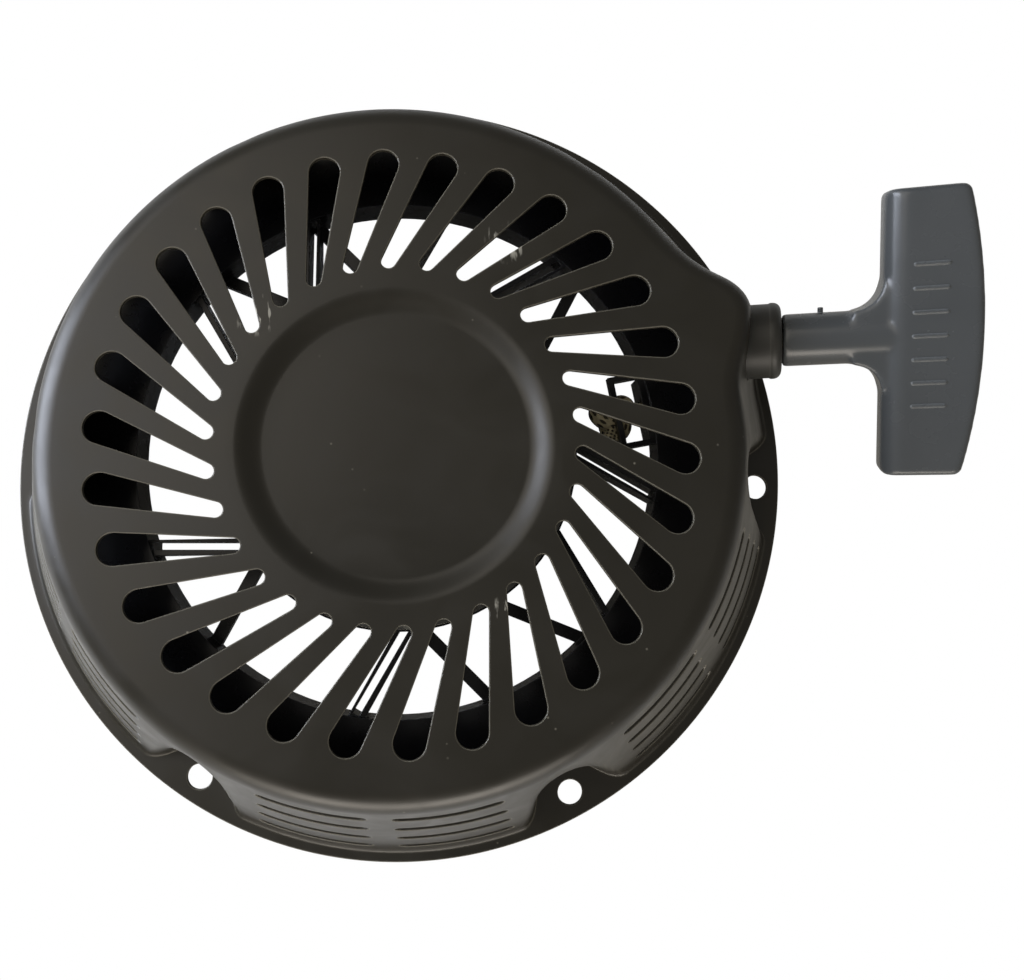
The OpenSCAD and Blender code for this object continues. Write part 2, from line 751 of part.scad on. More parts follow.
// T-handle: stem, filleted web and bowed crossbar, bored for the rope and its knot
module handle_grip() {
    stem_r = stem_d / 2;
    bow_c = [bar_out_x - bow_r, 0];
    bar_line = concat([[bar_x, -bar_half]], arc(bow_c, bow_r, -bow_a, bow_a, 12),
        [[bar_x, bar_half]]);
    web_line = concat(
        arc([bar_x - fillet_r, -stem_r - fillet_r], fillet_r, 90, 0),
        arc([bar_x - fillet_r, stem_r + fillet_r], fillet_r, 0, -90));
    color(grip_grey) on_handle() difference() {
        union() {
            translate([stem_x, 0, 0]) rotate([0, 90, 0]) cylinder(r = stem_r, h = stem_len + 5);
            translate([0, 0, -bar_t / 2]) linear_extrude(bar_t) polygon(bar_line);
            translate([0, 0, -bar_t * 0.3]) linear_extrude(bar_t * 0.6)
                polygon(concat(web_line, [[bar_x + 2, stem_r], [bar_x + 2, -stem_r]]));
        }
        translate([stem_x - e, 0, 0]) rotate([0, 90, 0])
            cylinder(r = rope_bore_r, h = chamber_x - stem_x + 2 * e);
        translate([chamber_x, 0, 0]) rotate([0, 90, 0])
            cylinder(r = chamber_r, h = bar_out_x - chamber_x + e);
    }
}

// Washer that the handle's knot bears on
module handle_washer() {
    color(steel) on_pull_line() translate([chamber_x + 0.05, 0, 0]) rotate([0, 90, 0])
        ring(chamber_r - 0.3, rope_bore_r, handle_washer_t);
}

module handle_knot() {
    color(rope_beige) on_pull_line()
        translate([chamber_x + handle_washer_t + 0.5 + knot_half, 0, 0]) rope_knot();
}

cover();
post_plate();
centre_post();
centre_screw();
guide_washer();
rope_bush();
reel();
reel_bushing();
thrust_washer();
spring_retainer();
retainer_screws();
recoil_spring();
pawl_1();
pawl_2();
pawl_pins();
pawl_spring_1();
pawl_spring_2();
ratchet_guide();
friction_spring();
rope_winding();
reel_knot();
rope_run();
rope_tail();
handle_grip();
handle_washer();
handle_knot();
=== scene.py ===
import math

import bpy
from mathutils import Euler, Matrix, Vector


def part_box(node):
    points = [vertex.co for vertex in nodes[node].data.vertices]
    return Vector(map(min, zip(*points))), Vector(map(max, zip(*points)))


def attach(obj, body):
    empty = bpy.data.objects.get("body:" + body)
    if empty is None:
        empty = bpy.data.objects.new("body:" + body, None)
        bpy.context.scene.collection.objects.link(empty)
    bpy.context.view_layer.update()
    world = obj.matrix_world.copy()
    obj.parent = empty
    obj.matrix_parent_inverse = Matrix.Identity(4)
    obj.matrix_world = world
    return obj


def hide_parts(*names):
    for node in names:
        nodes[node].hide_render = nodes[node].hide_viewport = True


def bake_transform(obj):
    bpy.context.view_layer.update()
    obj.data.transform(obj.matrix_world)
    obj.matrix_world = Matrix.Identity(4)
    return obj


# Recoil starter for a small engine. The frame gives the bodies and the overall sizes,
# and this script adds the pressed cover, the bush, the handle, the rope and the materials.
# Lengths in the dictionaries are millimetres and angles are degrees, but the lights' and the
# floor's are in metres, because they belong to the room.

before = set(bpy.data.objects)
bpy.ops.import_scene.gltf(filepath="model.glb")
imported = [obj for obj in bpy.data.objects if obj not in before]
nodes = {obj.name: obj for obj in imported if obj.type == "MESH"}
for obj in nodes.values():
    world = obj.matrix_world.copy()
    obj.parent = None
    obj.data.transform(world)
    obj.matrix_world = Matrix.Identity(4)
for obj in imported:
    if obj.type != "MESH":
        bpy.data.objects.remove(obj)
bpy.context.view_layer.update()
mm = 0.001
weld = 0.002 * mm   # points nearer than this are one
quarter = math.pi / 2
print("frame loaded:", len(nodes), "nodes")

camera = {"place": (12.46, -34.08, 278.19), "turn": (6.917, -2.638, -4.350),
          "lens": 30.7, "sensor": 36, "shift": (0.0176, -0.0234)}


def addCamera():
    data = bpy.data.cameras.new("camera")
    data.sensor_width = camera["sensor"]
    data.lens = camera["lens"]
    data.shift_x, data.shift_y = camera["shift"]
    data.clip_start = 0.01
    item = bpy.data.objects.new("camera", data)
    item.location = Vector(camera["place"]) * mm
    item.rotation_euler = Euler([math.radians(a) for a in camera["turn"]])
    bpy.context.scene.collection.objects.link(item)
    bpy.context.scene.camera = item


addCamera()
print("camera placed")


def smooth(t):
    t = min(1, max(0, t))
    return t * t * (3 - 2 * t)


def softMin(a, b, k):
    # the smaller of two lengths, with a rounded corner k wide where they meet
    h = max(k - abs(a - b), 0) / k
    return min(a, b) - h * h * k / 4


def softMax(a, b, k):
    return -softMin(-a, -b, k)


def direction(degrees):
    a = math.radians(degrees)
    return Vector((math.cos(a), math.sin(a), 0))


def arcPoints(centre, radius, start, end, count):
    points = []
    for i in range(count + 1):
        a = math.radians(start + (end - start) * i / count)
        points.append((centre[0] + radius * math.cos(a), centre[1] + radius * math.sin(a)))
    return points


def deselectAll():
    if bpy.context.object and bpy.context.object.mode != "OBJECT":
        bpy.ops.object.mode_set(mode="OBJECT")
    bpy.ops.object.select_all(action="DESELECT")


def select(piece):
    deselectAll()
    piece.select_set(True)
    bpy.context.view_layer.objects.active = piece


def editAll(piece):
    select(piece)
    bpy.ops.object.mode_set(mode="EDIT")
    bpy.ops.mesh.select_all(action="SELECT")


def closeUp(piece):
    # welds the seams and turns all faces outwards
    editAll(piece)
    bpy.ops.mesh.remove_doubles(threshold=weld)
    bpy.ops.mesh.normals_make_consistent(inside=False)
    bpy.ops.object.mode_set(mode="OBJECT")
    return piece


def applyModifier(piece, kind, **settings):
    select(piece)
    modifier = piece.modifiers.new(kind.lower(), kind)
    for key, value in settings.items():
        setattr(modifier, key, value)
    bpy.ops.object.modifier_apply(modifier=modifier.name)


def smoothShade(piece, angle):
    select(piece)
    bpy.ops.object.shade_smooth_by_angle(angle=math.radians(angle))
    applyModifier(piece, "WEIGHTED_NORMAL", keep_sharp=True, weight=90)


def joinPieces(pieces, name):
    deselectAll()
    for item in pieces:
        item.select_set(True)
    bpy.context.view_layer.objects.active = pieces[0]
    bpy.ops.object.join()
    joined = bpy.context.object
    joined.name = name
    return joined


def copyPiece(piece, matrix):
    copy = piece.copy()
    copy.data = piece.data.copy()
    copy.data.transform(matrix)
    bpy.context.scene.collection.objects.link(copy)
    return copy


def flatOutline(name, points, z):
    deselectAll()
    bpy.ops.mesh.primitive_circle_add(vertices=len(points), radius=mm, fill_type="NGON")
    piece = bpy.context.object
    piece.name = name
    for vertex, point in zip(piece.data.vertices, points):
        vertex.co = Vector((point[0], point[1], z)) * mm
    return piece


def thicken(piece, height):
    editAll(piece)
    bpy.ops.mesh.extrude_region_move(TRANSFORM_OT_translate={"value": (0, 0, height * mm)})
    return closeUp(piece)


def spinOutline(name, points, steps):
    # turns an outline of (radius, height) points about Z
    deselectAll()
    bpy.ops.mesh.primitive_plane_add(size=mm)
    piece = bpy.context.object
    piece.name = name
    line = [Vector((r, 0, z)) * mm for r, z in points]
    editAll(piece)
    bpy.ops.mesh.merge(type="CENTER")
    bpy.ops.transform.translate(value=line[0])
    for here, there in zip(line, line[1:]):
        bpy.ops.mesh.extrude_region_move(TRANSFORM_OT_translate={"value": there - here})
    bpy.ops.mesh.select_all(action="SELECT")
    bpy.ops.mesh.spin(steps=steps, angle=2 * math.pi, center=(0, 0, 0), axis=(0, 0, 1))
    return closeUp(piece)


def roundCutter(radius, depth, place, turn=(0, 0, 0), sides=40):
    deselectAll()
    bpy.ops.mesh.primitive_cylinder_add(vertices=sides, radius=radius * mm, depth=depth * mm,
                                        location=Vector(place) * mm, rotation=turn)
    piece = bpy.context.object
    bpy.ops.object.transform_apply(location=True, rotation=True, scale=True)
    return piece


def cutAway(piece, cutters):
    cutter = joinPieces(cutters, "cutter")
    applyModifier(piece, "BOOLEAN", operation="DIFFERENCE", object=cutter, solver="EXACT")
    bpy.data.objects.remove(cutter)


# The rope is pulled along this line. It starts at the rope's bend behind the boss,
# and the bush's and the handle's places are counted along it from there.
pull = {"bend": (96.56, 26.8, 29.5), "rise": 18, "yaw": 5.4, "roll": 19.6}
alongX = (0, quarter, 0)


def pullLine(roll=0):
    return (Matrix.Translation(Vector(pull["bend"]) * mm)
            @ Matrix.Rotation(math.radians(-pull["yaw"]), 4, "Z")
            @ Matrix.Rotation(math.radians(-pull["rise"]), 4, "Y")
            @ Matrix.Rotation(math.radians(roll), 4, "X"))


cover = {"flangeR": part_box("cover")[1].y / mm, "height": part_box("cover")[1].z / mm,
         "sheet": 1.2, "rim": 3.6, "draft": 25, "bend": 7.5, "foot": 2.5, "footFlare": 0.4,
         "dishR": 41.5, "dishFloorR": 34.5, "dishDepth": 2.5,
         "dishRings": (0, 8, 16, 24, 30), "faceRings": (44, 62, 74, 81, 84), "wallRows": 18,
         "bolts": 6, "boltR": 112.5, "boltHoleR": 3.8, "boltTurn": -7.3, "boltCut": 8,
         "pocketR": 10.5, "pocketFlare": 6, "pocketRound": 0.86, "pocketBlend": 5,
         "rimLeft": 1.5, "rimBlend": 2,
         "slots": 30, "slotTurn": 5, "slotLean": 11.7, "slotOuterAt": 75.3, "slotOuterR": 4.15,
         "slotInnerAt": 48.5, "slotInnerR": 2, "slotCut": 6,
         "louvreRows": 4, "louvrePitch": 12.2, "louvreZ": 8, "louvreH": 4,
         "louvreSpan": 17.5, "louvreGap": 3.8, "louvreTurn": 0.8,
         "louvreCut": (84, 126), "steps": 480}
# The boss: each flat has its normal and its reach at the slotted face. The wall runs into it
# over fadeIn and fadeOut degrees, and the face follows it out from the radius faceFrom.
boss = {"draft": 18, "fadeStart": -14, "fadeIn": 14, "fadeEnd": 58, "fadeOut": 12, "soft": 7,
        "blend": 5, "grazing": 0.1, "faceFrom": 74, "holeR": 11.3, "holeAt": 10, "holeCut": 22,
        "flats": (((1, 0), 96.9), ((0.506, 0.863), 79.5), ((0.865, -0.5), 71.8))}
footR = cover["flangeR"] - cover["rim"]
slope = math.tan(math.radians(cover["draft"]))


def coneRadius(z):
    return footR - (z - cover["sheet"]) * slope


cornerR = coneRadius(cover["height"])
faceR = cornerR - cover["bend"] * math.tan(math.radians(90 - cover["draft"]) / 2)


def pocketWall(z, angle):
    # distance of a pocket's wall from the axis, which runs out straight past its round middle
    pitch = 360 / cover["bolts"]
    nearest = min(abs((angle - cover["boltTurn"] - pitch * i + 180) % 360 - 180)
                  for i in range(cover["bolts"]))
    side = cover["boltR"] * math.sin(math.radians(nearest))
    radius = cover["pocketR"] + cover["pocketFlare"] * (z - cover["sheet"]) / cover["height"]
    turn = cover["pocketRound"]
    share = side / radius
    depth = 1 - math.sqrt(1 - min(share, turn) ** 2)
    if share > turn:
        depth += (share - turn) * turn / math.sqrt(1 - turn * turn)
    return cover["boltR"] - radius + radius * depth


def bossReach(z, angle):
    grow = (cover["height"] - z) * math.tan(math.radians(boss["draft"]))
    ray = direction(angle)
    reach = 2 * cover["flangeR"]
    for normal, reachAtTop in boss["flats"]:
        along = normal[0] * ray.x + normal[1] * ray.y
        if along > boss["grazing"]:
            reach = softMin(reach, (reachAtTop + grow) / along, boss["soft"])
    return reach


def wallRadius(z, angle):
    radius = coneRadius(z)
    turn = (angle + 180) % 360 - 180
    near = smooth((turn - boss["fadeStart"]) / boss["fadeIn"])
    near *= smooth((boss["fadeEnd"] - turn) / boss["fadeOut"])
    if near > 0:
        radius += near * (softMax(bossReach(z, angle), radius, boss["blend"]) - radius)
    radius = softMin(radius, pocketWall(z, angle), cover["pocketBlend"])
    return softMin(radius, cover["flangeR"] - cover["rimLeft"], cover["rimBlend"])


def coverOutline():
    # from the axis over the dish, the face and the bend, and down the wall to the flange's edge
    c = cover
    top = c["height"]
    dishSteps = 10
    bendSteps = 9
    footSteps = 5
    points = [(r, top - c["dishDepth"]) for r in c["dishRings"]]
    width = c["dishR"] - c["dishFloorR"]
    for i in range(dishSteps + 1):
        rise = smooth(i / dishSteps)
        points.append((c["dishFloorR"] + width * i / dishSteps, top - c["dishDepth"] * (1 - rise)))
    points += [(r, top) for r in c["faceRings"]]
    points += arcPoints((faceR, top - c["bend"]), c["bend"], 90, c["draft"], bendSteps)
    wallTop = points[-1][1]
    wallEnd = c["sheet"] + c["foot"]
    for i in range(1, c["wallRows"]):
        z = wallTop + (wallEnd - wallTop) * i / c["wallRows"]
        points.append((coneRadius(z), z))
    for i in range(footSteps + 1):
        a = math.radians(90 * i / footSteps)
        z = wallEnd - c["foot"] * math.sin(a)
        points.append((coneRadius(z) + c["foot"] * (1 - math.cos(a)) * c["footFlare"], z))
    flatFrom = points[-1][0]
    points += [(flatFrom + (c["flangeR"] - flatFrom) * share, c["sheet"]) for share in (0.5, 1)]
    return points


def pressCover(piece):
    # moves the turned shell into the pockets and out over the boss
    flatFrom = footR + cover["foot"] * cover["footFlare"]
    fadeFrom = boss["faceFrom"]
    hair = 1e-3
    for vertex in piece.data.vertices:
        x, y, z = vertex.co / mm
        r = math.hypot(x, y)
        if r < fadeFrom:
            continue
        angle = math.degrees(math.atan2(y, x))
        shift = wallRadius(z, angle) - coneRadius(z)
        if z < cover["sheet"] + hair and r > flatFrom - hair:
            shift *= (cover["flangeR"] - r) / (cover["flangeR"] - flatFrom)
        elif z > cover["height"] - hair:
            shift *= smooth((r - fadeFrom) / (faceR - fadeFrom))
        scale = (r + shift) / r
        vertex.co = Vector((x * scale, y * scale, z)) * mm


def slotCutter():
    # a long drop: a large round end outside, a small one inside, and straight flanks
    c = cover
    inner = direction(c["slotLean"]) * c["slotInnerAt"]
    outer = Vector((c["slotOuterAt"], 0, 0))
    lean = math.degrees(math.atan2(outer.y - inner.y, outer.x - inner.x))
    splay = math.degrees(math.asin((c["slotOuterR"] - c["slotInnerR"]) / (outer - inner).length))
    points = arcPoints(outer, c["slotOuterR"], lean - 90 - splay, lean + 90 + splay, 18)
    points += arcPoints(inner, c["slotInnerR"], lean + 90 + splay, lean + 270 - splay, 10)
    return thicken(flatOutline("slotCutter", points, c["height"] - c["slotCut"]), 2 * c["slotCut"])


def louvreCutter(start, height):
    # a thin curved bar with round ends, standing through the wall
    deselectAll()
    bpy.ops.mesh.primitive_grid_add(x_subdivisions=22, y_subdivisions=1, size=mm)
    piece = bpy.context.object
    half = cover["louvreH"] / 2
    reach = math.radians(cover["louvreSpan"]) / 2
    wallAt = 100   # the wall's rough radius sets how long the round ends are
    endShare = half / (reach * wallAt)
    blunt = 0.02   # the ends stop just short of a point
    inner, outer = cover["louvreCut"]
    for vertex in piece.data.vertices:
        across = math.sin(vertex.co.x / (0.5 * mm) * math.pi / 2)
        upward = 1 if vertex.co.y > 0 else -1
        past = max(0, (abs(across) - 1 + endShare) / endShare)
        tall = half * math.sqrt(max(blunt, 1 - past * past))
        a = math.radians(start) + reach + across * reach
        vertex.co = Vector((inner * math.cos(a), inner * math.sin(a), height + upward * tall)) * mm
    editAll(piece)
    bpy.ops.mesh.extrude_region()
    bpy.ops.transform.resize(value=(outer / inner, outer / inner, 1), center_override=(0, 0, 0))
    return closeUp(piece)


def makeCover():
    c = cover
    shell = spinOutline("coverShell", coverOutline(), c["steps"])
    pressCover(shell)
    applyModifier(shell, "SOLIDIFY", thickness=c["sheet"] * mm, offset=-1, use_even_offset=False)
    cutters = []
    slot = slotCutter()
    for i in range(c["slots"]):
        turn = Matrix.Rotation(math.radians(c["slotTurn"] + 360 / c["slots"] * i), 4, "Z")
        cutters.append(copyPiece(slot, turn))
    bpy.data.objects.remove(slot)
    middle = c["boltTurn"] + 180 / c["bolts"] + c["louvreTurn"]
    for i in range(1, c["bolts"]):
        for side in (0, 1):
            start = (middle + 360 * i / c["bolts"] + c["louvreGap"] / 2
                     - side * (c["louvreGap"] + c["louvreSpan"]))
            for row in range(c["louvreRows"]):
                cutters.append(louvreCutter(start, c["louvreZ"] + row * c["louvrePitch"]))
    for i in range(c["bolts"]):
        place = direction(c["boltTurn"] + 360 * i / c["bolts"]) * c["boltR"]
        cutters.append(roundCutter(c["boltHoleR"], c["boltCut"], place))
    hole = roundCutter(boss["holeR"], boss["holeCut"], (boss["holeAt"], 0, 0), alongX, 64)
    hole.data.transform(pullLine())
    cutters.append(hole)
    cutAway(shell, cutters)
    smoothShade(shell, 40)
    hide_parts("cover")
    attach(shell, "housing")
    return shell


coverShell = makeCover()
print("cover pressed:", len(coverShell.data.polygons), "faces")


bush = {"inner": 0.97, "collarEnd": 2.57, "collarR": 12.2, "end": 16.24, "r": 11, "rim": 2.2,
        "bore": 2.6, "lip": 1.2, "lipFlat": 0.2, "flareR": 9.5, "flareLen": 7,
        "band": 2.9, "bandDepth": 0.25, "bandEdge": 0.5, "taper": 3}


def makeBush():
    # counted along the pull line: a collar behind the boss, a plain barrel and a rounded band
    b = bush
    bandAt = b["end"] - b["band"]
    barrelR = b["r"] - b["bandDepth"]
    outline = [(b["flareR"], b["inner"]), (b["collarR"], b["inner"]),
               (b["collarR"], b["collarEnd"]), (b["r"], b["collarEnd"]),
               (barrelR, b["collarEnd"] + b["taper"]),
               (barrelR, bandAt - b["bandEdge"]), (b["r"], bandAt)]
    outline += arcPoints((b["r"] - b["rim"], b["end"] - b["rim"]), b["rim"], 0, 90, 8)
    outline += [(b["bore"] + b["lip"] + b["lipFlat"], b["end"])]
    outline += arcPoints((b["bore"] + b["lip"], b["end"] - b["lip"]), b["lip"], 90, 180, 5)
    outline += [(b["bore"], b["inner"] + b["flareLen"]), (b["flareR"], b["inner"])]
    piece = spinOutline("ropeBushMoulding", outline, 72)
    layDown = Matrix.Rotation(quarter, 4, "Z") @ Matrix.Rotation(quarter, 4, "X")
    piece.data.transform(pullLine() @ layDown)
    smoothShade(piece, 40)
    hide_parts("rope_bush")
    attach(piece, "housing")
    return piece


bushPiece = makeBush()
print("bush turned")


grip = {"start": 16.54, "stemR": 7.5, "stemLen": 26.4, "barW": 20.5, "bow": 4.7, "half": 39.25,
        "thick": 16, "fillet": 8, "web": 12.6, "voxel": 0.6, "innerRound": 5.5, "round": 1.8,
        "stemSunk": 8, "webSunk": 3, "boreR": 2.6, "boreAt": 20, "boreCut": 60,
        "chamberR": 6.2, "chamberDepth": 15, "chamberCut": 40,
        "lineCount": 7, "linePitch": 6.4, "lineLen": 8, "lineW": 0.8, "lineHigh": 0.35,
        "lineSunk": 0.8, "lineRound": 0.16, "lineAt": 0.56,
        "nibAt": 10.5, "nibR": 0.8, "nibLen": 1.8, "nibSunk": 0.4, "nibRound": 0.25}


def gripLine(place):
    # one thin raised line across the bar, with round ends
    g = grip
    half = g["lineLen"] / 2
    points = arcPoints((half, 0), g["lineW"] / 2, -90, 90, 6)
    points += arcPoints((-half, 0), g["lineW"] / 2, 90, 270, 6)
    outline = flatOutline("gripLine", points, g["thick"] / 2 - g["lineSunk"])
    line = thicken(outline, g["lineSunk"] + g["lineHigh"])
    applyModifier(line, "BEVEL", width=g["lineRound"] * mm, segments=2, limit_method="ANGLE",
                  angle_limit=math.radians(50))
    line.data.transform(Matrix.Translation(Vector(place) * mm))
    return line


def roundEdges(bar, barX):
    # the fingers' side of the bar is rounder than the rest
    hair = 0.01
    weights = bar.data.attributes.new("bevel_weight_edge", "FLOAT", "EDGE")
    for edge in bar.data.edges:
        one, two = (bar.data.vertices[i].co / mm for i in edge.vertices)
        level = abs(one.z - two.z) < hair
        inner = max(abs(one.x - barX), abs(two.x - barX)) < hair
        corner = abs(abs(one.y) - grip["half"]) < hair
        if level and inner:
            weights.data[edge.index].value = 1
        elif level or corner:
            weights.data[edge.index].value = grip["round"] / grip["innerRound"]
    applyModifier(bar, "BEVEL", width=grip["innerRound"] * mm, segments=7, limit_method="WEIGHT")


def makeGrip():
    g = grip
    barX = g["start"] + g["stemLen"]
    end = barX + g["barW"] + g["bow"]
    bowR = (g["half"] ** 2 + g["bow"] ** 2) / (2 * g["bow"])
    reach = math.degrees(math.asin(g["half"] / bowR))
    points = [(barX, -g["half"])]
    points += arcPoints((end - bowR, 0), bowR, -reach, reach, 24)
    points += [(barX, g["half"])]
    bar = thicken(flatOutline("gripBar", points, -g["thick"] / 2), g["thick"])
    roundEdges(bar, barX)
    stemLen = g["stemLen"] + g["stemSunk"]
    stem = roundCutter(g["stemR"], stemLen, (g["start"] + stemLen / 2, 0, 0), alongX, 64)
    web = arcPoints((barX - g["fillet"], -g["stemR"] - g["fillet"]), g["fillet"], 90, 0, 8)
    web += [(barX + g["webSunk"], -g["stemR"]), (barX + g["webSunk"], g["stemR"])]
    web += arcPoints((barX - g["fillet"], g["stemR"] + g["fillet"]), g["fillet"], 0, -90, 8)
    webPiece = thicken(flatOutline("gripWeb", web, -g["web"] / 2), g["web"])
    body = joinPieces([bar, stem, webPiece], "handleGrip")
    applyModifier(body, "REMESH", mode="VOXEL", voxel_size=g["voxel"] * mm)
    applyModifier(body, "SMOOTH", factor=0.5, iterations=14)
    chamberAt = end - g["chamberDepth"] + g["chamberCut"] / 2
    cutters = [roundCutter(g["boreR"], g["boreCut"], (g["start"] + g["boreAt"], 0, 0), alongX, 32),
               roundCutter(g["chamberR"], g["chamberCut"], (chamberAt, 0, 0), alongX, 48)]
    cutAway(body, cutters)
    smoothShade(body, 50)
    middle = barX + g["barW"] * g["lineAt"]
    extras = [gripLine((middle, (i - (g["lineCount"] - 1) / 2) * g["linePitch"], 0))
              for i in range(g["lineCount"])]
    nibPlace = (g["start"] + g["nibAt"], g["stemR"] + g["nibLen"] / 2 - g["nibSunk"], 0)
    nib = roundCutter(g["nibR"], g["nibLen"], nibPlace, (quarter, 0, 0), 12)
    applyModifier(nib, "BEVEL", width=g["nibRound"] * mm, segments=2)
    body = joinPieces([body] + extras + [nib], "handleGrip")
    body.data.transform(pullLine(pull["roll"]))
    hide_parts("handle_grip")
    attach(body, "handle")
    return body


handle = makeGrip()
print("handle moulded:", len(handle.data.polygons), "faces")


rope = {"r": 2.25, "z": 29.5, "outAt": 91.85, "turns": 2.91, "exit": 39.07, "bendLen": 3.58,
        "bushEnd": 16.24, "tailEnd": 54.5, "plait": 9, "sides": 16, "windingSteps": 260,
        "knotAt": 62.8, "knotZ": 27.2, "knotScale": 1.7, "knotRise": 1.15, "knotR": 2.5,
        "knotSteps": 72, "wall": 75.4}


def sweepTube(name, points, radius, closed=False):
    # a sheet whose own map runs along the rope in plait lengths, rolled onto the rope's path
    sides = rope["sides"]
    last = len(points) - 1
    deselectAll()
    bpy.ops.mesh.primitive_grid_add(x_subdivisions=last, y_subdivisions=sides, size=1)
    piece = bpy.context.object
    piece.name = name
    length = sum((b - a).length for a, b in zip(points, points[1:]))
    side = Vector((0, 0, 1))
    frames = []
    for i, point in enumerate(points):
        if closed:
            before, after = points[(i - 1) % last], points[(i + 1) % last]
        else:
            before, after = points[max(i - 1, 0)], points[min(i + 1, last)]
        along = (after - before).normalized()
        side = (side - along * side.dot(along)).normalized()
        frames.append((point, side, along.cross(side)))
    for vertex in piece.data.vertices:
        i = round((vertex.co.x + 0.5) * last)
        a = 2 * math.pi * round((vertex.co.y + 0.5) * sides) / sides
        point, side, other = frames[i]
        vertex.co = (point + radius * (math.cos(a) * side + math.sin(a) * other)) * mm
    plaits = max(1, round(length / rope["plait"]))
    for loop in piece.data.uv_layers.active.data:
        loop.uv.x *= plaits
    editAll(piece)
    bpy.ops.mesh.remove_doubles(threshold=weld)
    bpy.ops.mesh.select_all(action="DESELECT")
    bpy.ops.mesh.select_non_manifold()
    if not closed:
        bpy.ops.mesh.fill_holes(sides=0)
    bpy.ops.mesh.select_all(action="SELECT")
    bpy.ops.mesh.normals_make_consistent(inside=False)
    bpy.ops.object.mode_set(mode="OBJECT")
    select(piece)
    bpy.ops.object.shade_smooth_by_angle(angle=math.radians(60))
    return piece


def finishRope(piece, *replaced):
    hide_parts(*replaced)
    return piece


def makeStarterRope():
    # straight off the reel, round the bend, through the bush and on into the handle
    r = rope
    leaveWay = direction(r["exit"] - 90)
    leave = direction(r["exit"]) * r["outAt"] + Vector((0, 0, r["z"]))
    bend = Vector(pull["bend"])
    pullWay = pullLine().to_3x3() @ Vector((1, 0, 0))
    into = bend - leaveWay * r["bendLen"]
    straightSteps, bendSteps, bushSteps, tailSteps = 24, 8, 11, 27
    points = [leave + (into - leave) * (i + 0.1) / straightSteps for i in range(straightSteps)]
    for i in range(bendSteps + 1):
        t = i / bendSteps
        points.append(bend + r["bendLen"] * (t * t * pullWay - (1 - t) ** 2 * leaveWay))
    inBush = r["bushEnd"] - r["bendLen"]
    for i in range(1, bushSteps + 1):
        points.append(bend + (r["bendLen"] + inBush * i / bushSteps) * pullWay)
    # one short stretch between bush and handle, where the rope lengthens when it is pulled
    tailStart = r["bushEnd"] + 0.4
    for i in range(tailSteps + 1):
        points.append(bend + (tailStart + (r["tailEnd"] - tailStart) * i / tailSteps) * pullWay)
    piece = finishRope(sweepTube("starterRope", points, r["r"]), "rope_run", "rope_tail")
    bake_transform(piece)
    return piece


def makeWoundRope():
    # one spiral layer on the reel, a shade thinner than the rope so that the turns don't meet
    r = rope
    points = []
    for i in range(r["windingSteps"] + 1):
        turned = r["turns"] * i / r["windingSteps"]
        reach = r["outAt"] - turned * 2 * r["r"]
        points.append(direction(r["exit"] + 360 * turned) * reach + Vector((0, 0, r["z"])))
    piece = finishRope(sweepTube("woundRope", points, r["r"] * 0.98), "rope_winding")
    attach(piece, "reel")
    return piece


def knotBody(name, matrix, scale, rise, radius):
    # a rope tied once over itself, pulled flat
    points = []
    for i in range(rope["knotSteps"] + 1):
        t = 2 * math.pi * i / rope["knotSteps"]
        points.append(Vector((scale * (math.sin(t) + 2 * math.sin(2 * t)),
                              scale * (math.cos(t) - 2 * math.cos(2 * t)), -rise * math.sin(3 * t))))
    points = [matrix @ point for point in points]
    return sweepTube(name, points, radius, closed=True)


def makeReelKnot():
    r = rope
    turn = r["exit"] + 360 * (r["turns"] % 1) - 360
    place = Matrix.Rotation(math.radians(turn), 4, "Z") @ Matrix.Translation((r["knotAt"], 0, r["knotZ"]))
    body = knotBody("reelRopeKnot", place, r["knotScale"], r["knotRise"], r["knotR"])
    stubStart = 2
    stubLen = r["wall"] - r["knotAt"] - stubStart
    stub = [place @ Vector((stubStart + stubLen * i / 8, 0.6 * (1 - i / 8),
                            (r["z"] - r["knotZ"]) * smooth(i / 5))) for i in range(9)]
    tip = [place @ Vector((-1 - 0.5 * i, -3 - 0.9 * i, 0.5 + 0.12 * i)) for i in range(5)]
    pieces = [body, sweepTube("ropeStub", stub, r["r"] * 0.95), sweepTube("ropeTip", tip, r["r"] * 0.9)]
    piece = finishRope(joinPieces(pieces, "reelRopeKnot"), "reel_knot")
    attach(piece, "reel")
    return piece


def makeHandleKnot():
    low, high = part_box("handle_knot")
    place = (Matrix.Translation((low + high) / 2 / mm) @ pullLine().to_3x3().to_4x4()
             @ Matrix.Rotation(quarter, 4, "Y"))
    body = knotBody("handleRopeKnot", place, 1.0, 1.0, rope["r"] * 0.8)
    piece = finishRope(body, "handle_knot")
    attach(piece, "handle")
    return piece


ropePieces = [makeStarterRope(), makeWoundRope(), makeReelKnot(), makeHandleKnot()]
print("rope laid:", len(ropePieces), "pieces")


def linearColour(code):
    channels = [int(code[i:i + 2], 16) / 255 for i in (0, 2, 4)]
    return [c / 12.92 if c <= 0.04045 else ((c + 0.055) / 1.055) ** 2.4
            for c in channels] + [1.0]


def addNode(tree, kind, settings=None, links=None):
    node = tree.nodes.new(kind)
    for key, value in (settings or {}).items():
        if isinstance(key, int) or key in node.inputs:
            node.inputs[key].default_value = value
        else:
            setattr(node, key, value)
    for key, source in (links or {}).items():
        tree.links.new(source, node.inputs[key])
    return node


def startMaterial(name, **sockets):
    material = bpy.data.materials.new(name)
    material.use_nodes = True
    tree = material.node_tree
    shader = tree.nodes["Principled BSDF"]
    for key, value in sockets.items():
        shader.inputs[key.replace("_", " ")].default_value = value
    place = addNode(tree, "ShaderNodeTexCoord").outputs["Object"]
    return material, tree, shader, place


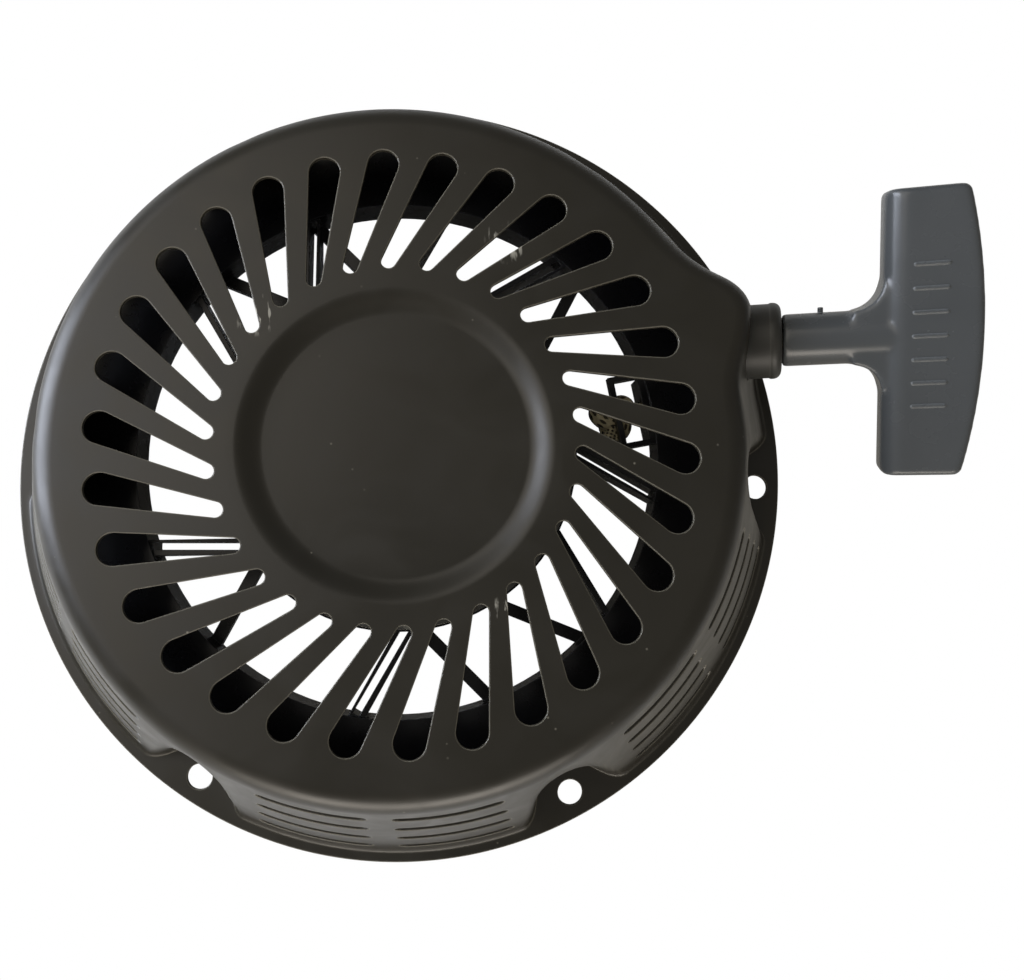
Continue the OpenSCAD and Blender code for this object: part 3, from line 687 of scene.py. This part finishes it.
def perMetre(size):
    # a texture's scale for a pattern whose parts are this many millimetres
    return 1000 / size


def cloudy(tree, place, size, dark, light):
    # two near colours that drift into each other
    cloud = addNode(tree, "ShaderNodeTexNoise", {"Scale": perMetre(size), "Detail": 4},
                    {"Vector": place})
    mix = addNode(tree, "ShaderNodeMix", {"data_type": "RGBA", 6: linearColour(dark),
                                          7: linearColour(light)}, {0: cloud.outputs["Fac"]})
    return mix.outputs[2]


def edgeWearAndPaintedHighlight(tree, width):
    # a mask that is one on an edge and nothing on a flat, and a normal that rounds the edge; the mask paints
    # edges paler, a painted highlight on the enamel and on the plastics partly rubbed wear and partly
    # painted highlight
    soft = addNode(tree, "ShaderNodeBevel", {"samples": 4, "Radius": width * mm})
    hard = addNode(tree, "ShaderNodeNewGeometry")
    dot = addNode(tree, "ShaderNodeVectorMath", {"operation": "DOT_PRODUCT"},
                  {0: soft.outputs["Normal"], 1: hard.outputs["True Normal"]})
    mask = addNode(tree, "ShaderNodeMapRange", {"From Min": 0.995, "From Max": 0.88},
                   {"Value": dot.outputs["Value"]})
    return mask.outputs["Result"], soft.outputs["Normal"]


def finishMaterial(tree, shader, colour, normal, height, depth, strength):
    # the colour, and a bump this many millimetres deep on top of the normal, if there is one
    tree.links.new(colour, shader.inputs["Base Color"])
    links = {"Height": height}
    if normal is not None:
        links["Normal"] = normal
    bump = addNode(tree, "ShaderNodeBump", {"Strength": strength, "Distance": depth * mm}, links)
    tree.links.new(bump.outputs["Normal"], shader.inputs["Normal"])


def blackEnamel():
    # stove enamel on pressed steel: a brownish black satin with orange peel, dust and scuffs, and a painted
    # pale highlight on its edges
    e = {"dark": "1e1c16", "light": "29261e", "edge": "8a8678", "dust": "8d897c", "scuff": "b9b6aa",
         "peel": 1.6, "drift": 45, "smudge": 22, "speckPitch": 5.6, "dustPatch": 30,
         "edgeWidth": 0.55, "scuffGrain": 1.3, "scuffs": ((33, 52, 6.5), (-34, 36, 6), (24, -44, 3))}
    material, tree, shader, place = startMaterial("blackStoveEnamel", IOR=1.52)
    colour = cloudy(tree, place, e["drift"], e["dark"], e["light"])
    # pale edges: a painted highlight on every edge of the sheet, standing in for the light that its cut rims
    # catch
    edge, softNormal = edgeWearAndPaintedHighlight(tree, e["edgeWidth"])
    colour = addNode(tree, "ShaderNodeMix", {"data_type": "RGBA", 7: linearColour(e["edge"])},
                     {0: edge, 6: colour}).outputs[2]
    specks = addNode(tree, "ShaderNodeTexVoronoi", {"Scale": perMetre(e["speckPitch"])},
                     {"Vector": place})
    speck = addNode(tree, "ShaderNodeMapRange", {"From Min": 0.07, "From Max": 0.03},
                    {"Value": specks.outputs["Distance"]})
    patch = addNode(tree, "ShaderNodeTexNoise", {"Scale": perMetre(e["dustPatch"]), "Detail": 2},
                    {"Vector": place})
    dusty = addNode(tree, "ShaderNodeMapRange", {"From Min": 0.5, "From Max": 0.68},
                    {"Value": patch.outputs["Fac"]})
    dust = addNode(tree, "ShaderNodeMath", {"operation": "MULTIPLY"},
                   {0: speck.outputs["Result"], 1: dusty.outputs["Result"]})
    colour = addNode(tree, "ShaderNodeMix", {"data_type": "RGBA", 7: linearColour(e["dust"])},
                     {0: dust.outputs["Value"], 6: colour}).outputs[2]
    # scuffs: broken pale strokes within a few small patches
    stretched = addNode(tree, "ShaderNodeMapping", {"Rotation": (0, 0, 0.7), "Scale": (1, 0.22, 1)},
                        {"Vector": place})
    strokes = addNode(tree, "ShaderNodeTexNoise", {"Scale": perMetre(e["scuffGrain"]), "Detail": 3},
                      {"Vector": stretched.outputs["Vector"]})
    stroke = addNode(tree, "ShaderNodeMapRange", {"From Min": 0.58, "From Max": 0.64},
                     {"Value": strokes.outputs["Fac"]})
    rubbed = None
    for x, y, size in e["scuffs"]:
        centre = (x * mm, y * mm, cover["height"] * mm)
        far = addNode(tree, "ShaderNodeVectorMath", {"operation": "DISTANCE", 1: centre}, {0: place})
        near = addNode(tree, "ShaderNodeMapRange", {"From Min": size * mm, "From Max": size * 0.3 * mm},
                       {"Value": far.outputs["Value"]}).outputs["Result"]
        if rubbed is None:
            rubbed = near
        else:
            rubbed = addNode(tree, "ShaderNodeMath", {"operation": "MAXIMUM"},
                             {0: rubbed, 1: near}).outputs["Value"]
    scuff = addNode(tree, "ShaderNodeMath", {"operation": "MULTIPLY"},
                    {0: rubbed, 1: stroke.outputs["Result"]})
    colour = addNode(tree, "ShaderNodeMix", {"data_type": "RGBA", 7: linearColour(e["scuff"])},
                     {0: scuff.outputs["Value"], 6: colour}).outputs[2]
    # smudges from handling change the gloss
    smudge = addNode(tree, "ShaderNodeTexNoise", {"Scale": perMetre(e["smudge"]), "Detail": 5,
                                                  "Distortion": 1.2}, {"Vector": place})
    gloss = addNode(tree, "ShaderNodeMapRange", {"From Min": 0.35, "From Max": 0.65, "To Min": 0.32,
                                                 "To Max": 0.42}, {"Value": smudge.outputs["Fac"]})
    tree.links.new(gloss.outputs["Result"], shader.inputs["Roughness"])
    peel = addNode(tree, "ShaderNodeTexNoise", {"Scale": perMetre(e["peel"]), "Detail": 2},
                   {"Vector": place})
    finishMaterial(tree, shader, colour, softNormal, peel.outputs["Fac"], 0.02, 0.35)
    return material


def mouldedPlastic(name, dark, light, edgeWearAndHighlightColour, roughness, grain, depth, edgeWidth):
    # an injection moulding: a fine spark grain, and edges drawn paler, partly rubbed wear and partly painted
    # highlight
    driftSize, glossSize = 18, 9
    material, tree, shader, place = startMaterial(name, Roughness=roughness, IOR=1.49)
    colour = cloudy(tree, place, driftSize, dark, light)
    edge, softNormal = edgeWearAndPaintedHighlight(tree, edgeWidth)
    colour = addNode(tree, "ShaderNodeMix", {"data_type": "RGBA", 7: linearColour(edgeWearAndHighlightColour)},
                     {0: edge, 6: colour}).outputs[2]
    spark = addNode(tree, "ShaderNodeTexNoise", {"Scale": perMetre(grain), "Detail": 3},
                    {"Vector": place})
    patchy = addNode(tree, "ShaderNodeTexNoise", {"Scale": perMetre(glossSize), "Detail": 4},
                     {"Vector": place})
    gloss = addNode(tree, "ShaderNodeMapRange", {"To Min": roughness - 0.05, "To Max": roughness + 0.06},
                    {"Value": patchy.outputs["Fac"]})
    tree.links.new(gloss.outputs["Result"], shader.inputs["Roughness"])
    finishMaterial(tree, shader, colour, softNormal, spark.outputs["Fac"], depth, 0.4)
    return material


def turnedMetal(name, dark, light, roughness, marks, stain=None):
    # metal turned or ground about the axis: fine rings, too fine to show, drawn a few times coarser
    material, tree, shader, place = startMaterial(name, Metallic=1.0, Roughness=roughness)
    driftSize, stainSize = 12, 4
    colour = cloudy(tree, place, driftSize, dark, light)
    if stain:
        spots = addNode(tree, "ShaderNodeTexNoise", {"Scale": perMetre(stainSize), "Detail": 6},
                        {"Vector": place})
        spot = addNode(tree, "ShaderNodeMapRange", {"From Min": 0.6, "From Max": 0.72},
                       {"Value": spots.outputs["Fac"]})
        colour = addNode(tree, "ShaderNodeMix", {"data_type": "RGBA", 7: linearColour(stain)},
                         {0: spot.outputs["Result"], 6: colour}).outputs[2]
    flat = addNode(tree, "ShaderNodeVectorMath", {"operation": "MULTIPLY", 1: (1, 1, 0.3)}, {0: place})
    reach = addNode(tree, "ShaderNodeVectorMath", {"operation": "LENGTH"}, {0: flat.outputs["Vector"]})
    turns = addNode(tree, "ShaderNodeMath", {"operation": "MULTIPLY", 1: 2 * math.pi * perMetre(marks)},
                    {0: reach.outputs["Value"]})
    rings = addNode(tree, "ShaderNodeMath", {"operation": "SINE"}, {0: turns.outputs["Value"]})
    softNormal = edgeWearAndPaintedHighlight(tree, 0.3)[1]
    finishMaterial(tree, shader, colour, softNormal, rings.outputs["Value"], 0.006, 0.3)
    return material


def braidedRope():
    # braided polyester: beige strands over and under each other, with dark tracer strands
    b = {"strand": "b9ab83", "pale": "ece2c0", "tracer": "453e2f", "strands": 5,
         "crossings": 2, "fuzz": 0.5}
    material, tree, shader, place = startMaterial("braidedPolyester", Roughness=0.75)
    shader.inputs["Sheen Weight"].default_value = 0.25
    own = addNode(tree, "ShaderNodeUVMap").outputs["UV"]
    parts = addNode(tree, "ShaderNodeSeparateXYZ", {}, {0: own})
    waves = []
    for way in (1, -1):
        along = addNode(tree, "ShaderNodeMath", {"operation": "MULTIPLY",
                                                1: 2 * math.pi * b["crossings"] * way},
                        {0: parts.outputs["X"]})
        around = addNode(tree, "ShaderNodeMath", {"operation": "MULTIPLY_ADD",
                                                  1: 2 * math.pi * b["strands"]},
                         {0: parts.outputs["Y"], 2: along.outputs["Value"]})
        waves.append(addNode(tree, "ShaderNodeMath", {"operation": "SINE"},
                             {0: around.outputs["Value"]}).outputs["Value"])
    braid = addNode(tree, "ShaderNodeMath", {"operation": "MAXIMUM"}, {0: waves[0], 1: waves[1]})
    fuzz = addNode(tree, "ShaderNodeTexNoise", {"Scale": perMetre(b["fuzz"]), "Detail": 3},
                   {"Vector": place})
    colour = addNode(tree, "ShaderNodeMix", {"data_type": "RGBA", 6: linearColour(b["strand"]),
                                             7: linearColour(b["pale"])}, {0: fuzz.outputs["Fac"]})
    flecks = addNode(tree, "ShaderNodeMath", {"operation": "MULTIPLY"}, {0: waves[0], 1: waves[1]})
    broken = addNode(tree, "ShaderNodeMath", {"operation": "SUBTRACT"},
                     {0: flecks.outputs["Value"], 1: fuzz.outputs["Fac"]})
    fleck = addNode(tree, "ShaderNodeMapRange", {"From Min": -0.7, "From Max": -0.95},
                    {"Value": broken.outputs["Value"]})
    colour = addNode(tree, "ShaderNodeMix", {"data_type": "RGBA", 7: linearColour(b["tracer"])},
                     {0: fleck.outputs["Result"], 6: colour.outputs[2]})
    finishMaterial(tree, shader, colour.outputs[2], None, braid.outputs["Value"], 0.25, 0.8)
    return material


def giveMaterial(piece, material):
    piece.data.materials.clear()
    piece.data.materials.append(material)


enamel = blackEnamel()
# the last colour of each plastic is its paler edge: partly rubbed wear, partly a painted highlight
gripPlastic = mouldedPlastic("greyPolypropylene", "434648", "4b4e50", "6c7072", 0.26, 0.6, 0.012, 0.5)
rubber = mouldedPlastic("blackBushRubber", "2c2c29", "373734", "4a4a46", 0.45, 0.5, 0.02, 0.5)
nylon = mouldedPlastic("blackGlassFilledNylon", "0b0b0d", "131316", "3c3e43", 0.27, 0.8, 0.01, 0.4)
bareSteel = turnedMetal("turnedMildSteel", "8a8986", "9c9b97", 0.36, 0.5, "5a4a3a")
zincSteel = turnedMetal("zincPlatedSteel", "b3b3ae", "c4c3bb", 0.3, 0.4)
springSteel = turnedMetal("bluedSpringSteel", "55585e", "6a6c70", 0.32, 0.6)
bronze = turnedMetal("sinteredBronze", "8a6433", "a87d47", 0.42, 0.4)
cordMaterial = braidedRope()

giveMaterial(coverShell, enamel)
giveMaterial(handle, gripPlastic)
giveMaterial(bushPiece, rubber)
for piece in ropePieces:
    giveMaterial(piece, cordMaterial)
finishes = {"cover": enamel, "rope_bush": rubber, "reel": nylon, "ratchet_guide": nylon,
            "reel_bushing": bronze, "centre_screw": zincSteel, "guide_washer": zincSteel,
            "retainer_screws": zincSteel, "handle_washer": zincSteel, "recoil_spring": springSteel,
            "pawl_spring_1": springSteel, "pawl_spring_2": springSteel,
            "friction_spring": springSteel, "handle_grip": gripPlastic}
ropeNodes = ("rope_winding", "reel_knot", "rope_run", "rope_tail", "handle_knot")
for name, item in nodes.items():
    giveMaterial(item, cordMaterial if name in ropeNodes else finishes.get(name, bareSteel))
print("materials given")


room = {"floorSize": 8, "floorDrop": 0.0005, "floor": "f4f4f1", "air": "f2eee6", "airGlow": 0.22,
        "backdrop": "f7f7f6"}
lights = {"ceilingGlow": {"place": (-0.6, 0.3, 1.0), "size": (1.1, 0.9), "watts": 3.6, "colour": "fff6e8"},
          "windowLight": {"place": (-1.1, 0.3, 0.42), "size": (0.6, 1.0), "watts": 20, "colour": "e9f0ff"},
          "frontFill": {"place": (-0.1, -1.1, 0.3), "size": (1.2, 0.4), "watts": 8, "colour": "fff6ea"}}


def makeFloor():
    # a pale table that the lens sees as plain white, and that is clear from below
    deselectAll()
    bpy.ops.mesh.primitive_plane_add(size=room["floorSize"], location=(0, 0, -room["floorDrop"]))
    floor = bpy.context.object
    floor.name = "floor"
    material = bpy.data.materials.new("paleTable")
    material.use_nodes = True
    tree = material.node_tree
    shader = tree.nodes["Principled BSDF"]
    shader.inputs["Base Color"].default_value = linearColour(room["floor"])
    shader.inputs["Roughness"].default_value = 0.9
    white = addNode(tree, "ShaderNodeEmission", {"Color": (1, 1, 1, 1), "Strength": 1.0})
    clear = addNode(tree, "ShaderNodeBsdfTransparent")
    side = addNode(tree, "ShaderNodeNewGeometry")
    seen = addNode(tree, "ShaderNodeLightPath")
    table = addNode(tree, "ShaderNodeMixShader", {}, {0: seen.outputs["Is Camera Ray"],
                                                      1: shader.outputs[0], 2: white.outputs[0]})
    both = addNode(tree, "ShaderNodeMixShader", {}, {0: side.outputs["Backfacing"],
                                                     1: table.outputs[0], 2: clear.outputs[0]})
    tree.links.new(both.outputs[0], tree.nodes["Material Output"].inputs["Surface"])
    giveMaterial(floor, material)


def makeWorld():
    # a dim room, white where the lens looks past the table
    world = bpy.data.worlds.new("studio")
    world.use_nodes = True
    tree = world.node_tree
    air = tree.nodes["Background"]
    air.inputs["Color"].default_value = linearColour(room["air"])
    air.inputs["Strength"].default_value = room["airGlow"]
    white = addNode(tree, "ShaderNodeBackground", {"Strength": 1.0, "Color": linearColour(room["backdrop"])})
    seen = addNode(tree, "ShaderNodeLightPath")
    mix = addNode(tree, "ShaderNodeMixShader", {}, {0: seen.outputs["Is Camera Ray"],
                                                    1: air.outputs[0], 2: white.outputs[0]})
    tree.links.new(mix.outputs[0], tree.nodes["World Output"].inputs["Surface"])
    bpy.context.scene.world = world


def addLight(name, light):
    # a rectangle that faces the middle of the part
    data = bpy.data.lights.new(name, "AREA")
    data.shape = "RECTANGLE"
    data.size, data.size_y = light["size"]
    data.energy = light["watts"]
    data.color = linearColour(light["colour"])[:3]
    item = bpy.data.objects.new(name, data)
    item.location = light["place"]
    item.rotation_euler = (-Vector(light["place"])).to_track_quat("-Z", "Y").to_euler()
    bpy.context.scene.collection.objects.link(item)


makeFloor()
makeWorld()
for name, light in lights.items():
    addLight(name, light)
print("room and lights set")
bpy.context.scene.view_settings.view_transform = "Standard"

print("scene ready")
